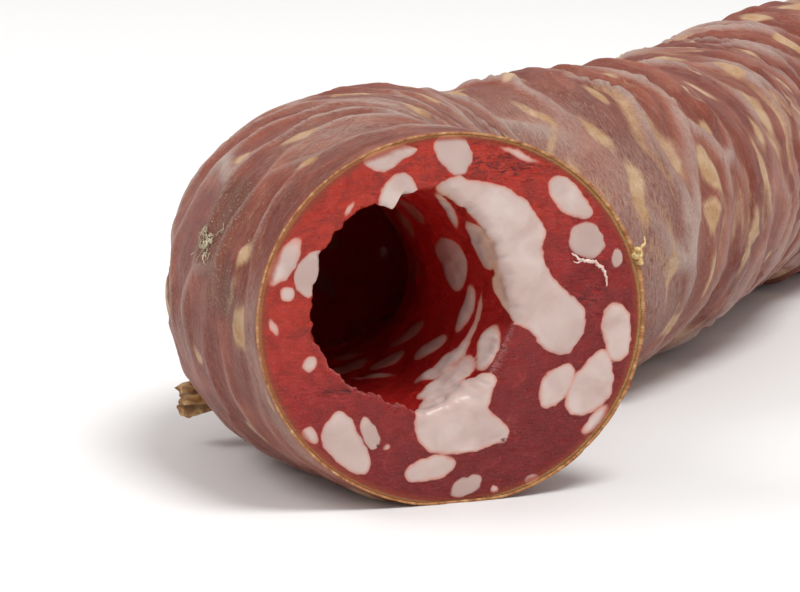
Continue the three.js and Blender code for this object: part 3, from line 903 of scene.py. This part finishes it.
# The meat dries brown along the casing, and golden where it meets the casing's cut edge.
dried = band(tree, math_node(tree, "ADD", read_mark(tree, "from_edge"), muscle), 1.9, 1.0)
rightward = scaled(tree, across, 0.4, 0.95, -16.0, 22.0)
golden = times(tree, band(tree, read_mark(tree, "from_edge"), 0.6, 0.1), rightward)
colour = paint_layers(
    tree,
    lean,
    (band(tree, fat, -0.1, 0.12), 1.0, fat_colour),
    (read_mark(tree, "painted_pit_shade"), 1.0, (0.05, 0.004, 0.003)),
    (dried, 0.85, (0.33, 0.05, 0.016)),
    (golden, 1.0, (0.6, 0.31, 0.1)),
)
tree.links.new(scaled(tree, muscle, 0.22, 0.5), shader.inputs["Roughness"])
pitted = math_node(tree, "MULTIPLY_ADD", fibre, cracks, fibre)
in_lean = scaled(tree, band(tree, fat, 0.3, -0.2), 0.12, 0.9)
dress(material, shader, colour, (pitted, in_lean, 0.0006), (fleck, in_lean, 0.00025))
filling.data.materials.append(material)
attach(filling, "root")
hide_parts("filling")

# ---- Shreds on the cut --------------------------------------------------------------------------
# A white shred of sinew that curls on the cut face where the knife pulled it, and a dried crumb on the
# casing's edge with a fine hair.


def lines(name, runs):
    """A curve object of open lines, each a list of points in millimetres with a half-width at each."""
    curve = bpy.data.curves.new(name, "CURVE")
    curve.dimensions = "3D"
    for points, half_widths in runs:
        spline = curve.splines.new("POLY")
        spline.points.add(len(points) - 1)
        for point, spot, half_width in zip(spline.points, points, half_widths):
            point.co = (*(spot * MM), 1)
            point.radius = half_width
    return show(name + "_path", curve)


def plain_mesh(source, name):
    """What an object's curve or modifiers make, as a plain mesh object."""
    evaluated = source.evaluated_get(bpy.context.evaluated_depsgraph_get())
    mesh = bpy.data.meshes.new_from_object(evaluated)
    mesh.shade_smooth()
    return show(name, mesh)


def strands(name, runs, material):
    """Thin tapered threads, each a list of points in millimetres with a half-width at each."""
    path = lines(name, runs)
    path.data.bevel_depth = MM
    path.data.bevel_resolution = 1
    path.data.use_fill_caps = True
    piece = plain_mesh(path, name)
    bpy.data.objects.remove(path)
    piece.data.materials.clear()
    piece.data.materials.append(material)
    outward(piece)
    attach(piece, "root")


def along_curve(corners, count):
    """Points evenly spread on a smooth line through a few corners."""
    corners = np.array(corners, float)
    for _ in range(3):
        before, after = corners[:-1], corners[1:]
        cut = np.stack([before * 0.75 + after * 0.25, before * 0.25 + after * 0.75], 1)
        corners = np.concatenate([corners[:1], cut.reshape(-1, corners.shape[1]), corners[-1:]])
    steps = np.concatenate([[0], np.cumsum(np.linalg.norm(np.diff(corners, axis=0), axis=1))])
    spread = np.linspace(0, steps[-1], count)
    return np.stack([np.interp(spread, steps, column) for column in corners.T], -1)


def on_cut(points):
    """Places given across and up on the cut face, with how far they stand off it."""
    return lie(points[:, 0] / STRETCH, points[:, 1], -points[:, 2])


def grained(tree, scale, detail=3, roughness=0.6, distortion=0.0):
    """Noise on a piece's own place, for small pieces with no grain along the sausage."""
    place = add_node(tree, "ShaderNodeTexCoord").outputs["Object"]
    return grain(tree, place, (1, 1, 1), scale, detail, roughness, distortion)


material, tree, shader = finish_of(
    "sinew", Roughness=0.35, Subsurface_Weight=0.4, Subsurface_Radius=(0.9, 0.5, 0.4), Subsurface_Scale=0.0008
)
threads = grained(tree, 1500)
colour = ramp(tree, threads, (0.35, (0.6, 0.36, 0.31)), (0.65, (0.82, 0.68, 0.62)))
dress(material, shader, colour, (threads, 0.4, 0.0001))
sinew_corners = [(17.8, 7.4, 0.1), (18.6, 6.5, 0.5), (20.6, 6.3, 0.45), (22.4, 4.9, 0.5), (22.8, 2.7, 0.2)]
sinew_line = along_curve(sinew_corners, 34)
sinew_line += 0.08 * rng.normal(size=sinew_line.shape)
sinew_widths = 0.05 + 0.24 * np.sin(np.linspace(0.25, math.pi * 0.97, 34)) * rng.uniform(0.75, 1.1, 34)
side_thread = along_curve([(18.8, 6.6, 0.45), (18.2, 6.1, 0.5), (17.7, 6.4, 0.3)], 10)
runs = [(on_cut(sinew_line), sinew_widths), (on_cut(side_thread), np.linspace(0.18, 0.05, 10))]
strands("sinew_shred", runs, material)

CRUMB_TURN, CRUMB_LUMPS = math.radians(14.5), 7
material, tree, shader = finish_of(
    "dried crumb", Roughness=0.6, Subsurface_Weight=0.2, Subsurface_Scale=0.0006
)
crust = grained(tree, 1400, 4, 0.65)
colour = ramp(tree, crust, (0.35, (0.42, 0.22, 0.05)), (0.65, (0.82, 0.62, 0.3)))
dress(material, shader, colour, (crust, 0.5, 0.0002))
runs = []
for _ in range(CRUMB_LUMPS):
    lump_turn = CRUMB_TURN + rng.uniform(-0.035, 0.03)
    lump = np.array([[0.15, -0.45], [0.5, 0.0], [0.35, 0.5]]) + rng.uniform(-0.4, 0.4, (3, 2))
    reach = skin_radius(np.full(3, lump_turn), np.zeros(3)) + lump[:, 0] - 0.2
    spots = round_at(lump_turn, reach, lump[:, 1])
    runs.append((along_curve(spots, 7), 0.16 + 0.32 * np.sin(np.linspace(0.2, 2.9, 7))))
hair_turns = CRUMB_TURN + np.array([0.0, 0.01, 0.035, 0.04, 0.075])
hair_along = np.array([-0.2, 0.0, 0.3, 0.2, 0.4])
hair_reach = skin_radius(hair_turns, hair_along) + np.array([0.3, 0.9, 1.4, 2.0, 2.4])
hair = along_curve(round_at(hair_turns, hair_reach, hair_along), 16)
runs.append((hair, np.linspace(0.26, 0.1, 16) * rng.uniform(0.7, 1.4, 16)))
strands("edge_crumb", runs, material)

# ---- Mould dust ---------------------------------------------------------------------------------
# The white and gray bloom of a cured skin: fine specks in the hollows, and one small tuft of dry
# threads on the left.

TUFT_TURN, TUFT_ALONG, TUFT_THREADS = math.radians(159), 19.5, 26
SPECKS_PER_SQUARE_METRE, LARGEST_SPECK = 150000, 0.13
material, tree, shader = finish_of("dry mould", Roughness=0.9)
colour = ramp(tree, grained(tree, 260), (0.38, (0.24, 0.2, 0.09)), (0.62, (0.62, 0.55, 0.4)))
dress(material, shader, colour)
runs = []
for _ in range(TUFT_THREADS):
    spot_turn, spot_along = TUFT_TURN + rng.normal() * 0.045, TUFT_ALONG + rng.normal() * 1.1
    walk_turn = spot_turn + np.cumsum(rng.normal(size=9) * 0.014)
    walk_along = spot_along + np.cumsum(rng.normal(size=9) * 0.32)
    lift = 0.08 + np.abs(np.cumsum(rng.normal(size=9) * 0.09))
    reach = skin_radius(walk_turn, walk_along) + np.minimum(lift, 0.55)
    runs.append((along_curve(round_at(walk_turn, reach, walk_along), 16), np.full(16, 0.045)))
strands("mould_tuft", runs, material)


def shape_tree(name, *inputs):
    """A geometry tree with named inputs. Returns it, its input node and each input's socket."""
    tree = bpy.data.node_groups.new(name, "GeometryNodeTree")
    sockets = [
        tree.interface.new_socket(label, in_out="INPUT", socket_type="NodeSocket" + kind)
        for label, kind in [("Geometry", "Geometry"), *inputs]
    ]
    tree.interface.new_socket("Geometry", in_out="OUTPUT", socket_type="NodeSocketGeometry")
    return tree, add_node(tree, "NodeGroupInput"), sockets[1:]


def close_tree(tree, geometry, material):
    """Ends a geometry tree: its instances are made real and take the material."""
    real = add_node(tree, "GeometryNodeRealizeInstances", {"Geometry": geometry})
    inputs = {"Geometry": real.outputs["Geometry"], "Material": material}
    dressed = add_node(tree, "GeometryNodeSetMaterial", inputs)
    add_node(tree, "NodeGroupOutput", {"Geometry": dressed.outputs["Geometry"]})


def shaped(source, name, tree, sockets, values):
    """Runs a geometry tree on an object and returns what it makes as a plain mesh object."""
    modifier = source.modifiers.new("shape", "NODES")
    modifier.node_group = tree
    for socket, value in zip(sockets, values):
        modifier[socket.identifier] = value
    piece = plain_mesh(source, name)
    source.modifiers.remove(modifier)
    return piece


duster, given, sockets = shape_tree(
    "dust_specks", ("Specks per square metre", "Float"), ("Largest speck", "Float"), ("Seed", "Int")
)
_, density, largest, seed = given.outputs[:4]
share = add_node(duster, "GeometryNodeInputNamedAttribute", {"Name": "dust"}, data_type="FLOAT")
amount = times(duster, share.outputs["Attribute"], density)
inputs = {"Mesh": given.outputs["Geometry"], "Density": amount, "Seed": seed}
scattered = add_node(duster, "GeometryNodeDistributePointsOnFaces", inputs)
speck = add_node(duster, "GeometryNodeMeshIcoSphere", {"Radius": 1.0, "Subdivisions": 1})
flat = add_node(duster, "GeometryNodeTransform", {"Geometry": speck.outputs["Mesh"], "Scale": (1, 1, 0.45)})
inputs = {2: times(duster, largest, 0.35), 3: largest, "Seed": seed}
sizes = add_node(duster, "FunctionNodeRandomValue", inputs, data_type="FLOAT")
inputs = {name: scattered.outputs[name] for name in ("Points", "Rotation")}
inputs.update({"Instance": flat.outputs["Geometry"], "Scale": sizes.outputs[1]})
placed = add_node(duster, "GeometryNodeInstanceOnPoints", inputs)
close_tree(duster, placed.outputs["Instances"], material)
dust = shaped(casing, "mould_specks", duster, sockets, (SPECKS_PER_SQUARE_METRE, LARGEST_SPECK * MM, 5))
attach(dust, "root")

# ---- Stub of casing -----------------------------------------------------------------------------
# A short dried stub that stands out low on the left, where a side piece of the gut was trimmed off. It
# is pleated and hard, golden brown, and its end is ragged.

STUB_COLUMNS, STUB_ROWS, STUB_PLEATS = 96, 44, 5
STUB_INSIDE = 2.5
stub_low, stub_high = (np.array(corner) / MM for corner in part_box("casing_tag"))
stub_from, stub_to = (stub_low + stub_high) / 2, (stub_low + stub_high) / 2
stub_from[0] = stub_high[0] + STUB_INSIDE
stub_to[0] = stub_low[0]
turns = np.linspace(0, 2 * math.pi, STUB_COLUMNS, endpoint=False)
stub_turn, stub_share = np.meshgrid(turns, np.linspace(0, 1, STUB_ROWS))
folds = 0.5 + 0.5 * np.cos(STUB_PLEATS * stub_turn + 1.6 * wander(stub_turn, stub_share, 1, 0.5, 71))
stub_radius = 1.5 + 2.0 * smooth(0.2, 0.8, stub_share) - 0.9 * smooth(0.88, 1.0, stub_share)
stub_radius *= (0.62 + 0.38 * folds) * (1 + 0.22 * wander(stub_turn, stub_share, 3, 0.2, 72))
ragged = smooth(0.6, 1.0, stub_share) * wander(stub_turn, 0, 2.4, 1, 73) * 1.1
run = (stub_to - stub_from) / np.linalg.norm(stub_to - stub_from)
side, upward = np.array([-run[1], run[0], 0]), np.array([0, 0, 1])
rows = stub_from + (stub_to - stub_from) * stub_share[..., None] + run * ragged[..., None]
rows += upward * 0.5 * np.sin(stub_share * 3)[..., None]
rows += side * (stub_radius * np.cos(stub_turn))[..., None]
rows += upward * 0.86 * (stub_radius * np.sin(stub_turn))[..., None]
stub = shell("casing_stub", rows, [stub_from - run * 0.2, stub_to - run * 1.3])
mark(stub, "painted_fold_shade", np.concatenate([np.ravel(folds), [0.5, 0.2]]))

material, tree, shader = finish_of(
    "hard dried casing", Roughness=0.5, Subsurface_Weight=0.15, Subsurface_Scale=0.001
)
patches = grained(tree, 700, 5, 0.65, 0.5)
colour = ramp(tree, patches, (0.3, (0.14, 0.05, 0.012)), (0.48, (0.4, 0.2, 0.06)), (0.68, (0.66, 0.46, 0.2)))
# Painted shade: darker brown in the troughs between the pleats.
colour = paint(tree, colour, band(tree, read_mark(tree, "painted_fold_shade"), 0.5, 0.0), 0.7, (0.1, 0.035, 0.01))
dress(material, shader, colour, (patches, 0.6, 0.0004))
stub.data.materials.append(material)
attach(stub, "root")
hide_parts("casing_tag")

# ---- Twine --------------------------------------------------------------------------------------
# Natural cotton twine of three strands, wound three times round the gathered neck and knotted, with two
# short cut ends.

TWINE_DIAMETER, TWINE_TURNS, TWINE_TWIST, TWINE_STRANDS = 1.3, 3, 3.4, 3
TWINE_STEP, TWINE_RING_POINTS = 0.22, 21
TWINE_OFF_NECK, KNOT_OFF_NECK = TWINE_DIAMETER * 0.42, 1.6
WOUND_FROM, WOUND_TO = NECK_START + 0.6, NECK_END - 0.4
KNOT_TURN = math.radians(92)

wound = np.linspace(0, 1, 60)
wound_turn = math.radians(80) + 2 * math.pi * TWINE_TURNS * wound
wound_along = WOUND_FROM + (WOUND_TO - WOUND_FROM) * wound + 0.15 * np.sin(9 * wound)
coil = round_at(wound_turn, NECK_RADIUS + TWINE_OFF_NECK, wound_along)
knot_steps = np.linspace(0, 2 * math.pi * 1.6, 26)
knot_radius = NECK_RADIUS + KNOT_OFF_NECK + 0.75 * np.sin(knot_steps)
knot_along = (WOUND_FROM + WOUND_TO) / 2 + 1.2 * np.cos(knot_steps * 0.5)
knot = round_at(KNOT_TURN + 0.3 * np.cos(knot_steps), knot_radius, knot_along)
# Each free end: turns from the knot, distances past the neck's start and distances from its middle.
first_end, second_end = (
    round_at(KNOT_TURN + np.array(end_turns), np.array(reach), np.array(past) + NECK_START)
    for end_turns, past, reach in (
        ((-0.1, -0.5, -0.95, -1.3), (1.8, 2.3, 2.5, 3.2), (5.2, 6.3, 6.6, 6.2)),
        ((0.1, 0.5, 0.9), (3.0, 3.4, 4.2), (5.1, 5.9, 6.4)),
    )
)
paths = [coil, np.concatenate([first_end[::-1], knot, second_end])]
twine_path = lines("twine", [(points, np.ones(len(points))) for points in paths])

material, tree, shader = finish_of("cotton twine", Roughness=0.85, Sheen_Weight=0.25, Sheen_Roughness=0.5)
fluff = grained(tree, 2600, 4, 0.65)
colour = ramp(tree, fluff, (0.3, (0.48, 0.34, 0.2)), (0.7, (0.76, 0.64, 0.46)))
# Painted shade: darker in the grooves between the strands.
colour = paint(tree, colour, band(tree, read_mark(tree, "strand"), 0.5, 0.0), 0.6, (0.3, 0.18, 0.09))
dress(material, shader, colour, (fluff, 0.5, 0.0002))

twister, given, sockets = shape_tree(
    "twisted_strands", ("Diameter", "Float"), ("Turns per millimetre", "Float"), ("Strands", "Int")
)
_, diameter, twist, strand_count = given.outputs[:4]
even = add_node(twister, "GeometryNodeResampleCurve", {"Curve": given.outputs["Geometry"]}, mode="LENGTH")
even.inputs["Length"].default_value = TWINE_STEP * MM
length = add_node(twister, "GeometryNodeSplineParameter").outputs["Length"]
turned = times(twister, times(twister, length, twist), 2 * math.pi / MM)
tilted = add_node(twister, "GeometryNodeSetCurveTilt", {"Curve": even.outputs["Curve"], "Tilt": turned})
# The twine's section: a ring drawn in between its strands.
ring = add_node(twister, "GeometryNodeCurvePrimitiveCircle", {"Resolution": TWINE_RING_POINTS, "Radius": 1.0})
round_ring = add_node(twister, "GeometryNodeSplineParameter").outputs["Factor"]
wave = times(twister, times(twister, times(twister, round_ring, 2 * math.pi), strand_count), 0.5)
lobes = math_node(twister, "ABSOLUTE", math_node(twister, "SINE", wave))
reach = times(twister, math_node(twister, "MULTIPLY_ADD", lobes, 0.42, 0.62), times(twister, diameter, 0.5))
position = add_node(twister, "GeometryNodeInputPosition").outputs[0]
spread = add_node(twister, "ShaderNodeVectorMath", {0: position, "Scale": reach}, operation="SCALE")
inputs = {"Geometry": ring.outputs["Curve"], "Position": spread.outputs[0]}
profile = add_node(twister, "GeometryNodeSetPosition", inputs)
inputs = {"Geometry": profile.outputs["Geometry"]}
kept = add_node(twister, "GeometryNodeCaptureAttribute", inputs, domain="POINT")
kept.capture_items.new("FLOAT", "strand")
twister.links.new(lobes, kept.inputs["strand"])
inputs = {"Curve": tilted.outputs["Curve"], "Profile Curve": kept.outputs["Geometry"], "Fill Caps": True}
swept = add_node(twister, "GeometryNodeCurveToMesh", inputs)
inputs = {"Geometry": swept.outputs["Mesh"], "Name": "strand", "Value": kept.outputs["strand"]}
stored = add_node(twister, "GeometryNodeStoreNamedAttribute", inputs, data_type="FLOAT", domain="POINT")
close_tree(twister, stored.outputs["Geometry"], material)
values = (TWINE_DIAMETER * MM, 1 / TWINE_TWIST, TWINE_STRANDS)
twine = shaped(twine_path, "end_twine", twister, sockets, values)
bpy.data.objects.remove(twine_path)
outward(twine)
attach(twine, "root")
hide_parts("end_twine")

# ---- Floor, light and camera --------------------------------------------------------------------
# A plain white table, with soft light from above and the left.

FLOOR_REACH = 3.0
floor_mesh = bpy.data.meshes.new("table")
corners = [(x * FLOOR_REACH, y * FLOOR_REACH, 0) for x, y in ((-1, -1), (1, -1), (1, 1), (-1, 1))]
floor_mesh.from_pydata(corners, [], [(0, 1, 2, 3)])
floor = show("table", floor_mesh)
material, tree, shader = finish_of("white table", Base_Color=(0.89, 0.89, 0.89, 1), Roughness=0.55)
floor_mesh.materials.append(material)

world = bpy.data.worlds.new("studio")
bpy.context.scene.world = world
world.use_nodes = True
world.node_tree.nodes["Background"].inputs["Color"].default_value = (1, 0.99, 0.98, 1)
world.node_tree.nodes["Background"].inputs["Strength"].default_value = 0.56


def soft_light(name, place, aim, size, power):
    """A round soft lamp, aimed at a point."""
    light = bpy.data.lights.new(name, "AREA")
    light.shape = "DISK"
    light.size = size
    light.energy = power
    light.color = (1, 0.995, 0.985)
    lamp = show(name, light)
    lamp.location = place
    x, y, z = np.array(aim) - np.array(place)
    lamp.rotation_euler = (math.atan2(math.hypot(x, y), -z), 0, math.atan2(-x, y))


soft_light("over", (0.9, -1.3, 3.2), (0, 0.1, 0), 1.5, 84)
soft_light("left", (-2.2, 0.1, 2.1), (0, 0, 0), 1.6, 31)

camera_data = bpy.data.cameras.new("camera")
camera_data.lens = 136.8
camera_data.sensor_width = 36
camera_data.clip_start = 0.01
camera = show("camera", camera_data)
camera.location = (-0.04632, -0.52181, 0.09163)
camera.rotation_euler = (math.radians(80.83), 0, 0)
bpy.context.scene.camera = camera
bpy.context.scene.view_settings.view_transform = "Standard"
